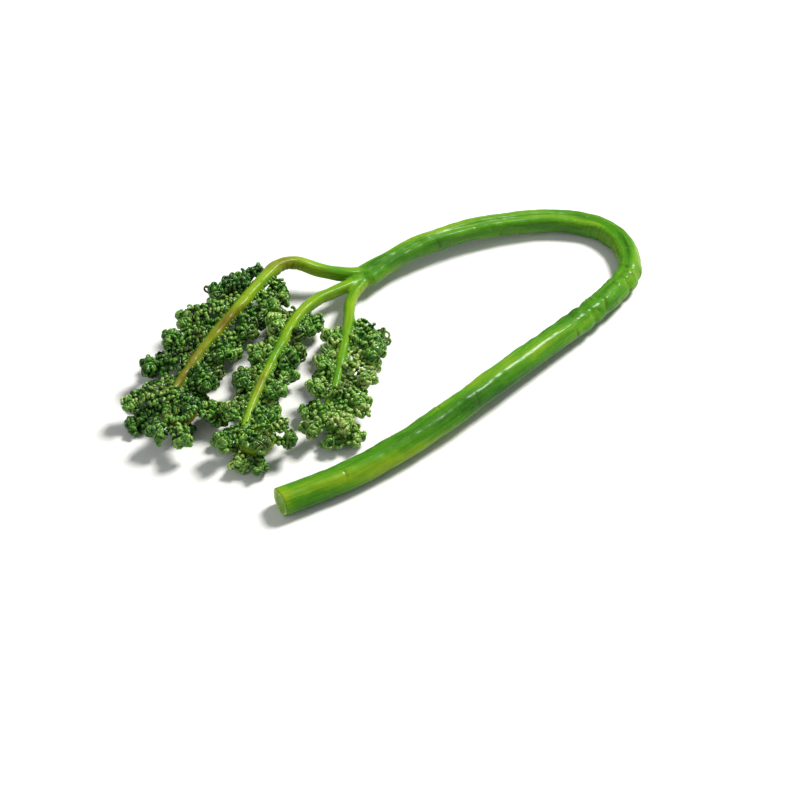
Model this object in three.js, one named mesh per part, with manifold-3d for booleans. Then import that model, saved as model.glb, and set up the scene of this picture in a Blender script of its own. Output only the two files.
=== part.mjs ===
// One bracken fiddlehead, picked, blanched and laid on a table: a long stalk that bends back on itself,
// and three limbs of rolled leaflets at its fork. Millimetres, +Z up, the table at z = 0.
import * as THREE from 'three';
import Module from 'manifold-3d';

const wasm = await Module();
wasm.setup();

// The stalk's midline, from its cut end, round the bend and back to the fork
const STALK_ROUTE = [
  [-34.5, -45.0, 4.0],
  [-12.3, -32.9, 4.2],
  [9.0, -16.7, 5.4],
  [30.0, 3.3, 6.2],
  [57.3, 31.3, 5.0],
  [66.0, 42.2, 4.3],
  [71.0, 50.6, 3.8],
  [71.8, 58.5, 3.6],
  [69.0, 67.0, 3.5],
  [61.5, 73.4, 3.5],
  [47.0, 75.4, 4.2],
  [26.0, 70.4, 5.8],
  [8.0, 61.8, 6.8],
  [-4.0, 53.4, 6.4],
  [-13.5, 45.4, 5.8],
];
const STALK_SIDES = 16;
const STALK_STEP = 3;
const CUT_END_RADIUS = 4.3;
const MIDDLE_RADIUS = 3.9;
const NECK_RADIUS = 3.2;
const FLUTES = 5;
const FLUTE_DEPTH = 0.035;
const FLUTE_TURN = 0.5;
const GROOVE_DEPTH = 0.09;
const GROOVE_HALF_ANGLE = 0.42;
const GROOVE_PLACE = 1.9;
const PITH_DISH = 0.5;
const NOSE = 0.6;

// Where the stalk is kinked, as shares of its length, and how the skin folds there
const KINKS = [0.478, 0.556];
const KINK_REACH = 10;
const CREASE_PITCH = 6;
const CREASE_DEPTH = 0.12;
const KINK_FLATTENING = 0.07;

// The fork: the stalk widens and flattens there, and then closes
const FORK_LENGTH = 15;
const FORK_WIDENING = 0.42;
const FORK_FLATTENING = 0.12;
const FORK_CLOSING = 5;
const FORK_BLUNTNESS = 0.8;

// Each limb grows from a stump on the fork. The cut between them is a slit that only keeps them apart.
const SLIT = 0.3;
const LIMB_SIDES = 8;
const LIMB_STEP = 2.4;
const SPIRAL_FINENESS = 1.25;

// Where leaflets grow along a limb, how far they reach and how they lie, each drawn between two ends
const BARE_TIP = 3;
const PLACE_JITTER = 1.6;
const LAST_PLACE = 1;
const ROOT_DEPTH = 0.45;
const REACH_SPREAD = [0.8, 1.12];
const CURLED_REACH = 0.62;
const LEAN_SPREAD = [0.6, 0.85];
const HEIGHT_SPREAD = 1.5;
const TILT_SPREAD = [-0.1, 0.6];
const STEEPEST_FALL = -1.6;
const STEEPEST_RISE = 0.4;

// A leaflet is a long blade cut into teeth down to its rib, and rolled up at its tip
const TOOTH_STEP = 1.5;
const NOTCH_SHARE = 0.3;
const RIB_HALF_THICKNESS = 0.48;
const TIP_THICKNESS = 0.75;
const SWELL_FROM = 0.16;
const SWELL_TO = 0.82;
const CUPPING = 0.55;
const ARCH = 0.16;
const WAVE = 0.22;
const ROLL_RADIUS = 2.7;
const ROLL_SHRINK = 0.72;
const ROLL_SPREAD = [0.9, 1.1];
const ROLL_CORE = 1.3;
const ROLL_PITCH = 1.5;

const STALK_COLOUR = 0x6b9d2b;
const STALK_ROUGHNESS = 0.35;
const LEAF_ROUGHNESS = 0.5;

const LIMBS = [
  {
    name: 'upper_pinna',
    seed: 48,
    route: [
      [-7.5, 50.4, 6.1],
      [-15.5, 47.6, 6.9],
      [-24.5, 47.8, 8.6],
      [-32.5, 48.6, 11.0],
      [-38.0, 45.2, 12.4],
      [-43.8, 36.5, 12.2],
      [-51.5, 24.5, 11.0],
      [-59.5, 12.0, 9.2],
      [-66.0, -0.5, 7.4],
      [-69.0, -10.0, 6.0],
    ],
    stumpSteps: 6,
    radii: [2.4, 1.0],
    tip: { radius: 5.4, core: 1.8, pitch: 3.2, side: 1, lift: 0.3 },
    bare: 34,
    spacing: [6.4, 5.2],
    reach: { left: [7.5, 9.2], right: [15, 11.2] },
    blade: [5.4, 3.9],
    height: [-1.7, 5.2],
    colour: 0x3f7a24,
  },
  {
    name: 'middle_crozier',
    seed: 56,
    route: [
      [-8.2, 49.6, 6.0],
      [-14.5, 44.2, 6.2],
      [-20.5, 39.6, 7.0],
      [-26.5, 34.0, 8.2],
      [-31.6, 25.5, 9.0],
      [-36.0, 14.0, 8.8],
      [-40.5, 2.0, 7.8],
      [-44.2, -10.0, 6.4],
      [-46.4, -20.5, 5.4],
    ],
    stumpSteps: 7,
    radii: [2.1, 0.9],
    tip: { radius: 5.6, core: 1.8, pitch: 3.2, side: 1, lift: 0.2 },
    bare: 27,
    spacing: [6.4, 5.0],
    reach: { left: [4.4, 8.0], right: [5.7, 8.0] },
    blade: [5.1, 3.7],
    height: [-1.6, 4.6],
    colour: 0x35701f,
  },
  {
    name: 'lower_pinna',
    seed: 12,
    route: [
      [-8.8, 48.8, 5.9],
      [-13.2, 42.2, 5.8],
      [-15.2, 35.4, 6.2],
      [-15.6, 27.0, 7.0],
      [-16.6, 17.5, 7.4],
      [-18.0, 7.5, 7.0],
      [-19.8, -2.5, 6.0],
      [-22.4, -11.0, 5.0],
    ],
    stumpSteps: 7,
    radii: [2.0, 0.9],
    tip: { radius: 4.8, core: 1.6, pitch: 3.0, side: 1, lift: 0.15 },
    bare: 22.5,
    spacing: [6.2, 4.8],
    reach: { left: [12, 8.5], right: [4.0, 7.4] },
    blade: [5.0, 3.5],
    height: [-0.3, 4.4],
    colour: 0x4b8a2a,
  },
];

const UP = new THREE.Vector3(0, 0, 1);
const CURVE_FINENESS = 600;
const SAME_PLACE = 1e-6;
const TABLE_WIDTH = 400;
const TABLE_THICKNESS = 100;

function seededRandom(seed) {
  let state = seed;
  return () => {
    state = (state + 0x6d2b79f5) | 0;
    let mixed = Math.imul(state ^ (state >>> 15), state | 1);
    mixed ^= mixed + Math.imul(mixed ^ (mixed >>> 7), mixed | 61);
    return ((mixed ^ (mixed >>> 14)) >>> 0) / 4294967296;
  };
}

function mix(from, to, share) {
  return from + (to - from) * share;
}

// 1 at the centre and falling to 0 over the reach to either side
function bump(distance, reach) {
  const near = Math.max(0, 1 - Math.abs(distance) / reach);
  return near * near * (3 - 2 * near);
}

// Points at even steps along a smooth curve through the route
function evenPoints(route, step) {
  const curve = new THREE.CatmullRomCurve3(
    route.map((place) => new THREE.Vector3(...place)),
    false,
    'catmullrom',
    0.5,
  );
  curve.arcLengthDivisions = CURVE_FINENESS;
  const count = Math.round(curve.getLength() / step);
  return curve.getSpacedPoints(count);
}

// At each point, the way on, the way up and the way to the side, carried along without twist
function framesAlong(points) {
  const frames = [];
  let up = UP.clone();
  for (let i = 0; i < points.length; i += 1) {
    const before = points[Math.max(i - 1, 0)];
    const after = points[Math.min(i + 1, points.length - 1)];
    const ahead = after.clone().sub(before).normalize();
    up = up.clone().addScaledVector(ahead, -up.dot(ahead)).normalize();
    const side = new THREE.Vector3().crossVectors(ahead, up);
    frames.push({ point: points[i], ahead, up, side });
  }
  return frames;
}

function placeAt(frame, across, above) {
  return frame.point.clone().addScaledVector(frame.side, across).addScaledVector(frame.up, above);
}

// One closed solid through rings of equally many points, each end closed round its middle point.
// The quads are split alike on both sides of every second point, so a thin blade's faces never cross.
function skin(rings, firstMiddle, lastMiddle) {
  const sides = rings[0].length;
  const points = [...rings.flat(), firstMiddle, lastMiddle];
  const faces = [];
  for (let ring = 0; ring < rings.length - 1; ring += 1) {
    for (let side = 0; side < sides; side += 1) {
      const a = ring * sides + side;
      const b = ring * sides + ((side + 1) % sides);
      const c = b + sides;
      const d = a + sides;
      if (side % 2 === 0) {
        faces.push(a, b, c, a, c, d);
      } else {
        faces.push(a, b, d, b, c, d);
      }
    }
  }
  const first = points.length - 2;
  const last = points.length - 1;
  const lastRing = (rings.length - 1) * sides;
  for (let side = 0; side < sides; side += 1) {
    const next = (side + 1) % sides;
    faces.push(first, next, side);
    faces.push(last, lastRing + side, lastRing + next);
  }
  return solidFrom(points, faces);
}

// Six times the volume inside the faces, negative where they point inwards
function volumeSign(points, faces) {
  let sum = 0;
  for (let i = 0; i < faces.length; i += 3) {
    const [a, b, c] = [points[faces[i]], points[faces[i + 1]], points[faces[i + 2]]];
    sum += a.dot(new THREE.Vector3().crossVectors(b, c));
  }
  return sum;
}

function solidFrom(points, faces) {
  const outward = volumeSign(points, faces) > 0;
  const triVerts = new Uint32Array(faces);
  if (!outward) {
    triVerts.reverse();
  }
  const vertProperties = new Float32Array(points.flatMap((point) => point.toArray()));
  return new wasm.Manifold(new wasm.Mesh({ numProp: 3, vertProperties, triVerts }));
}

function boxSolid(width, depth, height, centre) {
  const shape = new THREE.BoxGeometry(width, depth, height);
  const corners = shape.getAttribute('position');
  const points = [];
  const faces = [];
  for (const corner of shape.getIndex().array) {
    const point = new THREE.Vector3().fromBufferAttribute(corners, corner).add(centre);
    let found = points.findIndex((other) => other.distanceTo(point) < SAME_PLACE);
    if (found < 0) {
      found = points.push(point) - 1;
    }
    faces.push(found);
  }
  return solidFrom(points, faces);
}

// The largest body of a joined solid, with any hollow that the joining sealed filled in
function wholeBody(solid) {
  const bodies = solid.decompose();
  return bodies.reduce((largest, body) => (body.volume() > largest.volume() ? body : largest));
}

const TABLE = boxSolid(
  TABLE_WIDTH,
  TABLE_WIDTH,
  TABLE_THICKNESS,
  new THREE.Vector3(0, 0, -TABLE_THICKNESS / 2),
);

function meshOf(solid, name, colour, roughness) {
  const { vertProperties, triVerts } = wholeBody(solid.subtract(TABLE)).getMesh();
  const geometry = new THREE.BufferGeometry();
  geometry.setAttribute('position', new THREE.BufferAttribute(new Float32Array(vertProperties), 3));
  geometry.setIndex(new THREE.BufferAttribute(new Uint32Array(triVerts), 1));
  const material = new THREE.MeshStandardMaterial({ color: colour, roughness, metalness: 0 });
  const mesh = new THREE.Mesh(geometry, material);
  mesh.name = name;
  return mesh;
}

// The stalk's ring of points at one frame: fluted, grooved along its top, creased and flattened at kinks
function stalkRing(frame, distance, length) {
  const share = distance / length;
  const left = length - distance;
  let radius =
    share < 0.5
      ? mix(CUT_END_RADIUS, MIDDLE_RADIUS, share * 2)
      : mix(MIDDLE_RADIUS, NECK_RADIUS, share * 2 - 1);
  let kink = 0;
  for (const place of KINKS) {
    kink = Math.max(kink, bump(distance - place * length, KINK_REACH));
  }
  const crease = 0.5 + 0.5 * Math.cos((2 * Math.PI * distance) / CREASE_PITCH);
  radius *= 1 - CREASE_DEPTH * kink * crease;
  const fork = bump(left, FORK_LENGTH);
  const closing = Math.sqrt(Math.min(1, (left + FORK_BLUNTNESS) / FORK_CLOSING));
  const width = radius * (1 + KINK_FLATTENING * kink) * (1 + FORK_WIDENING * fork) * closing;
  const height = radius * (1 - KINK_FLATTENING * kink) * (1 - FORK_FLATTENING * fork) * closing;
  const ring = [];
  for (let side = 0; side < STALK_SIDES; side += 1) {
    const angle = (2 * Math.PI * side) / STALK_SIDES;
    const flute = 1 + FLUTE_DEPTH * Math.cos(FLUTES * angle + FLUTE_TURN);
    const groove = 1 - GROOVE_DEPTH * bump(angle - GROOVE_PLACE, GROOVE_HALF_ANGLE);
    const shape = flute * groove;
    ring.push(placeAt(frame, width * shape * Math.cos(angle), height * shape * Math.sin(angle)));
  }
  return ring;
}

function stalkBody() {
  const frames = framesAlong(evenPoints(STALK_ROUTE, STALK_STEP));
  const length = (frames.length - 1) * STALK_STEP;
  const rings = frames.map((frame, i) => stalkRing(frame, i * STALK_STEP, length));
  const pith = frames[0].point.clone().addScaledVector(frames[0].ahead, PITH_DISH);
  const lastFrame = frames[frames.length - 1];
  const nose = lastFrame.point.clone().addScaledVector(lastFrame.ahead, NOSE);
  return skin(rings, pith, nose);
}

// A limb's midline: its route, and then the flat spiral in which its tip is rolled up
function limbPoints(plan) {
  const points = evenPoints(plan.route, LIMB_STEP);
  const { radius, core, pitch, side, lift } = plan.tip;
  const last = points[points.length - 1];
  const ahead = last.clone().sub(points[points.length - 2]).normalize();
  const across = new THREE.Vector3().crossVectors(UP, ahead).normalize().multiplyScalar(side);
  const inward = across.addScaledVector(UP, lift);
  inward.addScaledVector(ahead, -inward.dot(ahead)).normalize();
  const centre = last.clone().addScaledVector(inward, radius);
  let turn = 0;
  let reach = radius;
  while (reach > core) {
    turn += LIMB_STEP / SPIRAL_FINENESS / reach;
    reach = radius - (pitch * turn) / (2 * Math.PI);
    points.push(
      centre
        .clone()
        .addScaledVector(ahead, reach * Math.sin(turn))
        .addScaledVector(inward, -reach * Math.cos(turn)),
    );
  }
  return points;
}

function limbRadius(plan, share) {
  return mix(plan.radii[0], plan.radii[1], share);
}

// The limb's own round body between two of its steps
function limbTube(plan, frames, from, to) {
  const rings = [];
  for (let i = from; i <= to; i += 1) {
    const radius = limbRadius(plan, i / (frames.length - 1));
    const ring = [];
    for (let side = 0; side < LIMB_SIDES; side += 1) {
      const angle = (2 * Math.PI * side) / LIMB_SIDES;
      ring.push(placeAt(frames[i], radius * Math.cos(angle), radius * Math.sin(angle)));
    }
    rings.push(ring);
  }
  return skin(rings, frames[from].point, frames[to].point);
}

// A leaflet: its blade runs from root along out, and rolls up towards curl
function leaflet(root, out, curl, reach, halfWidth, rollRadius) {
  const across = new THREE.Vector3().crossVectors(out, curl);
  const straightSteps = Math.max(2, Math.round(reach / TOOTH_STEP));
  const centre = root.clone().addScaledVector(out, reach).addScaledVector(curl, rollRadius);
  const stations = [];
  for (let i = 0; i <= straightSteps; i += 1) {
    const share = i / straightSteps;
    const arch = -ARCH * reach * Math.sin(Math.PI * share);
    const point = root.clone().addScaledVector(out, reach * share).addScaledVector(curl, -arch);
    stations.push({ point, away: curl.clone().negate() });
  }
  let turn = 0;
  let radius = rollRadius;
  while (radius > ROLL_CORE) {
    turn += TOOTH_STEP / radius;
    radius = rollRadius - (ROLL_PITCH * turn) / (2 * Math.PI);
    const away = out.clone().multiplyScalar(Math.sin(turn)).addScaledVector(curl, -Math.cos(turn));
    stations.push({ point: centre.clone().addScaledVector(away, radius), away });
  }
  const rings = stations.map(({ point, away }, i) => {
    const share = i / (stations.length - 1);
    const swell = Math.sin(Math.PI * mix(SWELL_FROM, SWELL_TO, share));
    const tooth = i % 2 === 1 ? 1 : NOTCH_SHARE;
    const half = halfWidth * swell * tooth;
    const thick = RIB_HALF_THICKNESS * mix(1, TIP_THICKNESS, share);
    const wave = WAVE * (i % 4 === 1 ? 1 : -1) * tooth;
    const edge = -CUPPING * swell * tooth;
    return [
      point.clone().addScaledVector(across, half).addScaledVector(away, edge + wave),
      point.clone().addScaledVector(away, thick),
      point.clone().addScaledVector(across, -half).addScaledVector(away, edge - wave),
      point.clone().addScaledVector(away, -thick),
    ];
  });
  return skin(rings, stations[0].point, stations[stations.length - 1].point);
}

// The leaflets of a limb, in pairs that get closer and shorter towards the tip
function limbLeaflets(plan, frames) {
  const random = seededRandom(plan.seed);
  const length = (frames.length - 1) * LIMB_STEP;
  const uncurled = evenPoints(plan.route, LIMB_STEP).length * LIMB_STEP;
  const leaflets = [];
  let distance = plan.bare;
  while (distance < length - BARE_TIP) {
    const grown = (distance - plan.bare) / (length - plan.bare);
    const curled = distance > uncurled;
    const sides = curled ? ['right'] : ['left', 'right'];
    for (const side of sides) {
      const sign = side === 'left' ? -1 : 1;
      const place = Math.min(distance + PLACE_JITTER * (random() - 0.5), length - LAST_PLACE);
      const frame = frames[Math.round(place / LIMB_STEP)];
      const fullReach = mix(...plan.reach[side], grown) * mix(...REACH_SPREAD, random());
      const reach = curled ? fullReach * CURLED_REACH : fullReach;
      const halfWidth = mix(...plan.blade, grown);
      const rollRadius = ROLL_RADIUS * mix(1, ROLL_SHRINK, grown) * mix(...ROLL_SPREAD, random());
      const lean = mix(...LEAN_SPREAD, random());
      const endHeight = plan.height[leaflets.length % 4 < 2 ? 0 : 1] + HEIGHT_SPREAD * random();
      const tilt = mix(...TILT_SPREAD, random());
      const out = frame.side.clone().multiplyScalar(sign).addScaledVector(frame.ahead, lean);
      out.setZ(0).normalize();
      const drop = (endHeight - frame.point.z) / (reach + rollRadius);
      out.setZ(THREE.MathUtils.clamp(drop, STEEPEST_FALL, STEEPEST_RISE)).normalize();
      const flat = new THREE.Vector3().crossVectors(out, UP).normalize().multiplyScalar(sign);
      const rise = new THREE.Vector3().crossVectors(flat, out).normalize();
      if (rise.z < 0) {
        rise.negate();
      }
      const curl = rise.multiplyScalar(Math.cos(tilt)).addScaledVector(flat, -Math.sin(tilt));
      const root = frame.point.clone().addScaledVector(out, ROOT_DEPTH * limbRadius(plan, grown));
      leaflets.push(leaflet(root, out, curl, reach, halfWidth, rollRadius));
    }
    distance += mix(...plan.spacing, grown);
  }
  return leaflets;
}

function limbParts(plan) {
  const frames = framesAlong(limbPoints(plan));
  const cut = plan.stumpSteps;
  const stump = limbTube(plan, frames, 0, cut);
  const firstFrame = frames[cut];
  frames[cut] = {
    ...firstFrame,
    point: firstFrame.point.clone().addScaledVector(firstFrame.ahead, SLIT),
  };
  const rib = limbTube(plan, frames, cut, frames.length - 1);
  return { stump, limb: wasm.Manifold.union([rib, ...limbLeaflets(plan, frames)]) };
}

const fiddlehead = new THREE.Group();
const limbs = LIMBS.map(limbParts);
const stalk = wasm.Manifold.union([stalkBody(), ...limbs.map(({ stump }) => stump)]);
fiddlehead.add(meshOf(stalk, 'stalk', STALK_COLOUR, STALK_ROUGHNESS));
LIMBS.forEach((plan, i) => {
  fiddlehead.add(meshOf(limbs[i].limb, plan.name, plan.colour, LEAF_ROUGHNESS));
});

// The origin lies on the table under the middle of the whole
const middle = new THREE.Box3().setFromObject(fiddlehead).getCenter(new THREE.Vector3());
fiddlehead.position.set(-middle.x, -middle.y, 0);
fiddlehead.updateMatrixWorld(true);

export default fiddlehead;
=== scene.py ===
"""One bracken fiddlehead, blanched and laid flat on a pale table.

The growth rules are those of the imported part, in millimetres on its own plan. The finer pieces that they
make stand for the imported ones: a fluted, creased stalk, a fork in one skin, a rib for each limb, and
leaflets made of a midrib, a cupped blade and small curled lobes.
"""

import math

import bpy
import numpy as np
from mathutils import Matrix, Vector
from mathutils.bvhtree import BVHTree


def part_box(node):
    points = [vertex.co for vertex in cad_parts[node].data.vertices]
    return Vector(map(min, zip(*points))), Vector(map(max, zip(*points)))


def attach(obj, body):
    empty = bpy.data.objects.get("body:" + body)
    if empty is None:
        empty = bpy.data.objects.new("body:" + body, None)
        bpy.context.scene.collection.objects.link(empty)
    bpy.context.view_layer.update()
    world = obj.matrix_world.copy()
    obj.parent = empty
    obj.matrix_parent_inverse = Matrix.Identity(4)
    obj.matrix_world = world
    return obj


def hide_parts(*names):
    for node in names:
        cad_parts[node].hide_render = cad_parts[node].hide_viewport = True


MM = 0.001
UP = np.array([0.0, 0.0, 1.0])
TURN = 2 * math.pi

# The stalk's midline, from its cut end, round the bend and back to the fork
STALK_ROUTE = [
    (-34.5, -45.0, 4.0), (-12.3, -32.9, 4.2), (9.0, -16.7, 5.4), (30.0, 3.3, 6.2), (57.3, 31.3, 5.0),
    (66.0, 42.2, 4.3), (71.0, 50.6, 3.8), (71.8, 58.5, 3.6), (69.0, 67.0, 3.5), (61.5, 73.4, 3.5),
    (47.0, 75.4, 4.2), (26.0, 70.4, 5.8), (8.0, 61.8, 6.8), (-4.0, 53.4, 6.4), (-13.5, 45.4, 5.8),
]
CURVE_SAMPLES = 601
PACKED_SIDES = 16
STALK_STEP = 3.0
CUT_END_RADIUS = 4.3
MIDDLE_RADIUS = 3.9
NECK_RADIUS = 3.2
FLUTES = 5
FLUTE_DEPTH = 0.035
FLUTE_TURN = 0.5
GROOVE_DEPTH = 0.09
GROOVE_HALF_ANGLE = 0.42
GROOVE_PLACE = 1.9
PITH_DISH = 0.5
NOSE = 0.6

# Where the stalk is kinked, as shares of its length, and how the skin folds there
KINKS = (0.478, 0.556)
KINK_REACH = 10.0
CREASE_PITCH = 6.0
CREASE_DEPTH = 0.12
CREASE_SHARPNESS = 2.5
KINK_FLATTENING = 0.07

# The fork: the stalk widens and flattens there, and then closes
FORK_LENGTH = 15.0
FORK_WIDENING = 0.42
FORK_FLATTENING = 0.12
FORK_CLOSING = 5.0
FORK_BLUNTNESS = 0.8

# The limbs, and the leaflets that grow on them
LIMB_STEP = 2.4
SPIRAL_FINENESS = 1.25
BARE_TIP = 3.0
PLACE_JITTER = 1.6
LAST_PLACE = 1.0
REACH_SPREAD = (0.8, 1.12)
CURLED_REACH = 0.62
ROLL_RADIUS = 2.7
ROLL_SHRINK = 0.72
ROLL_SPREAD = (0.9, 1.1)
ROLL_CORE = 1.3
ROLL_PITCH = 1.5
ROLL_STEP = 0.3
LEAN_SPREAD = (0.6, 0.85)
HEIGHT_SPREAD = 1.5
TILT_SPREAD = (-0.1, 0.6)
STEEPEST = (-1.6, 0.4)
ROOT_DEPTH = 0.45
ARCH = 0.16
ARCH_POINTS = 40
RIB_HALF_THICKNESS = 0.48
TIP_THICKNESS = 0.75
SWELL = (0.16, 0.82)

LIMBS = [
    {
        "name": "upper_pinna",
        "seed": 48,
        "route": [
            (-7.5, 50.4, 6.1), (-15.5, 47.6, 6.9), (-24.5, 47.8, 8.6), (-32.5, 48.6, 11.0),
            (-38.0, 45.2, 12.4), (-43.8, 36.5, 12.2), (-51.5, 24.5, 11.0), (-59.5, 12.0, 9.2),
            (-66.0, -0.5, 7.4), (-69.0, -10.0, 6.0),
        ],
        "stump_steps": 6,
        "radii": (2.4, 1.0),
        "tip": {"radius": 5.4, "core": 1.8, "pitch": 3.2, "lift": 0.3},
        "bare": 34.0,
        "spacing": (6.4, 5.2),
        "reach": {"left": (7.5, 9.2), "right": (15.0, 11.2)},
        "blade": (5.4, 3.9),
        "height": (-1.7, 5.2),
        "tones": (0.6, 0.8),
        "leaf_tone": 0.42,
    },
    {
        "name": "middle_crozier",
        "seed": 56,
        "route": [
            (-8.2, 49.6, 6.0), (-14.5, 44.2, 6.2), (-20.5, 39.6, 7.0), (-26.5, 34.0, 8.2),
            (-31.6, 25.5, 9.0), (-36.0, 14.0, 8.8), (-40.5, 2.0, 7.8), (-44.2, -10.0, 6.4),
            (-46.4, -20.5, 5.4),
        ],
        "stump_steps": 7,
        "radii": (2.1, 0.9),
        "tip": {"radius": 5.6, "core": 1.8, "pitch": 3.2, "lift": 0.2},
        "bare": 27.0,
        "spacing": (6.4, 5.0),
        "reach": {"left": (4.4, 8.0), "right": (5.7, 8.0)},
        "blade": (5.1, 3.7),
        "height": (-1.6, 4.6),
        "tones": (0.44, 0.58),
        "leaf_tone": 0.5,
    },
    {
        "name": "lower_pinna",
        "seed": 12,
        "route": [
            (-8.8, 48.8, 5.9), (-13.2, 42.2, 5.8), (-15.2, 35.4, 6.2), (-15.6, 27.0, 7.0),
            (-16.6, 17.5, 7.4), (-18.0, 7.5, 7.0), (-19.8, -2.5, 6.0), (-22.4, -11.0, 5.0),
        ],
        "stump_steps": 7,
        "radii": (2.0, 0.9),
        "tip": {"radius": 4.8, "core": 1.6, "pitch": 3.0, "lift": 0.15},
        "bare": 22.5,
        "spacing": (6.2, 4.8),
        "reach": {"left": (12.0, 8.5), "right": (4.0, 7.4)},
        "blade": (5.0, 3.5),
        "height": (-0.3, 4.4),
        "tones": (0.4, 0.34),
        "leaf_tone": 0.6,
    },
]

# Fineness of the pieces made here, and the least height of anything over the table
STALK_SIDES = 64
STALK_FINE_STEP = 0.4
FACE_RINGS = 16
NOSE_RINGS = 5
RIB_SIDES = 24
RIB_FINENESS = 6
MIDRIB_SIDES = 6
MIDRIB_RINGS = 30
BLADE_SIDES = 10
BLADE_RINGS = 32
LOBE_SIDES = 6
LOWEST = 0.03

# Unevenness made of waves: a seed, how many, the longest in millimetres, and the most turns round a stem
LUMP_WAVES = (5, 12, 34, 3)
DIMPLE_WAVES = (12, 20, 9, 6)
STALK_TONE_WAVES = (9, 10, 120, 2)
FACE_WAVES = (21, 16, 1, 14)
PUCKER_WAVES = (71, 7, 9, 3)
SHORTEST_WAVE = 0.35

# The same without a seed, as each limb or leaflet has its own
RIB_LUMP_WAVES = (9, 18, 2)
RIB_TONE_WAVES = (9, 40, 2)
BLADE_WAVES = (12, 4, 6)

# The stalk's skin: fine ridges, lumps, folds across it, dents, blisters, and a rounded rim at the cut
RIDGES = 23
RIDGE_HEIGHT = 0.06
RIDGE_SWAY = 0.9
RIDGE_SWAY_LENGTH = 33.0
RIDGE_FADING = 0.35
RIDGE_FADING_LENGTH = 19.0
LUMP_HEIGHT = 0.11
DIMPLE_HEIGHT = 0.04
MARK_SEED = 7
FOLDS = 52
FOLD_PLACES = (0.05, 0.93)
FOLD_SPREAD = 13.0
FOLD_HALF_ANGLES = (0.3, 1.1)
FOLD_SLANT = 1.6
FOLD_WAVER = 0.3
FOLD_WAVES = 4
FOLD_STRENGTHS = (0.4, 1)
FOLD_DEPTH = 0.34
FOLD_HALF_WIDTH = 0.3
FOLD_LIP = 0.2
FOLD_LIP_LENGTH = 2.0
DENTS = {"count": 34, "reach": 11.0, "sizes": (1.1, 2.6)}
DENT_DEPTH = 0.3
BLISTERS = {"count": 110, "reach": 26.0, "sizes": (0.45, 0.95)}
BLISTER_HEIGHT = 0.14
SPOT_SQUEEZE = 1.2
RIM_ROUNDING = 0.22
RIM_LENGTH = 0.7
SMOOTH_END = 6.0

# Folds across the inner side of a bend, by how sharply it bends in radians a millimetre
BEND_WINDOW = 3.0
PUCKER_BENDS = (0.02, 0.07)
PUCKER_PITCH = 2.3
PUCKER_DEPTH = 0.34
PUCKER_HALF_ANGLE = 1.5
PUCKER_WANDER = 0.5

# The cut face: its rings as shares of its radius, and the strands round its pith
FACE_SHARES = (0.03, 0.985)
STRAND_SEED = 3
STRANDS = 9
STRAND_PLACE = 0.58
STRAND_REACH = 0.16
STRAND_HEIGHT = 0.16
STRAND_SPREAD = (0.7, 1.2)
STRAND_SWAY = 0.3
PITH_GRAIN = 0.07
PITH_CALM = (0.05, 0.4)
NOSE_SHARES = (0.25, 0.98)

# The skin's tone, from green at 0 to brown at 1, and how much folds brown it
STALK_TONE = 0.26
STALK_TONE_SPREAD = 0.12
CUT_END_TONE = 0.2
CUT_END_REACH = 5
FORK_TONE = 0.12
FORK_TONE_FROM = 0.8
CREASE_HURT = 0.45
RIB_ROOT_TONE = 0.4
RIB_ROOT_END = 0.3
RIB_TONE_TURN = (0.25, 0.7)
RIB_TONE_SPREAD = 0.08
RIB_CREASE_HURT = 0.5

# How much the patterns of the skin are stretched along it
GRAIN_LENGTH = 84.0

# A limb's rib
RIB_FLUTES = 3
RIB_FLUTE_DEPTH = 0.07
RIB_TWIST = 40.0
RIB_GROOVE_DEPTH = 0.13
RIB_GROOVE_HALF_ANGLE = 0.55
RIB_LUMPS = 0.05
RIB_PUCKERS = 0.102
NODE_SWELLING = 0.055
NODE_REACH = 2.0
RIB_CLOSING = 0.5
RIB_BLUNTNESS = 0.02

# A leaflet's midrib, and its own blade, which joins the lobes: its share of their width, and how uneven
MIDRIB_END = (1.02, 8)
MIDRIB_SHADE = 0.1
# The midrib's painted crest highlight, and the painted tip light of midribs and blades
MIDRIB_PAINTED_CREST_LIGHT = 0.85
LEAFLET_PAINTED_TIP_LIGHT = 0.3
BLADE_WIDTH = 0.66
BLADE_HALF_THICKNESS = 0.5
BLADE_END = (1.01, 5)
BLADE_CUP = 0.3
BLADE_UNEVENNESS = 0.13
BLADE_SINK = 0.3
# The blade is darker, a painted shade in the gaps between the lobes, and its painted crest highlight
BLADE_PAINTED_SHADE = -0.2
BLADE_PAINTED_CREST_LIGHT = 0.6

# How much leaflets differ in shade, and how quickly that turns along a rib
LEAFLET_SHADE = 0.15
SHADE_TURN = 5.0

# The rows of lobes along a line: which side, how far round to the inner side, length and spacing
LOBE_ROWS = [(-1, -0.3, 1.0, 0.72), (1, -0.3, 1.0, 0.72), (-1, 0.9, 0.7, 1.1), (1, 0.9, 0.7, 1.1)]
ROW_STAGGER = 0.23
LAST_LOBE = 0.2

# A lobe is a string of three beads: places along it, and how thick it is there
LOBE_PROFILE = [
    (0.0, 0.5), (0.22, 1.0), (0.38, 0.74), (0.49, 0.96), (0.58, 1.0),
    (0.67, 0.76), (0.76, 1.0), (0.85, 0.98), (0.94, 0.7), (1.0, 0.16),
]
LOBE_LENGTH = 1.03
LOBE_LENGTH_SPREAD = (0.78, 1.14)
LOBE_HALF_WIDTH = 0.6
LOBE_HALF_THICKNESS = 0.42
LOBE_SIZE_SPREAD = (0.8, 1.2)
LOBE_SHADE = 0.16
LOBE_CUP = 0.3
LOBE_LEAN = (-0.3, 0.8)
LOBE_TILT = (-0.35, 0.3)
LOBE_CURL = (2.8, 4.6)
LOBE_CURL_POWER = 1.9
LOBE_TWIST = 1.1
LOBE_WOBBLE = 0.16

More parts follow.
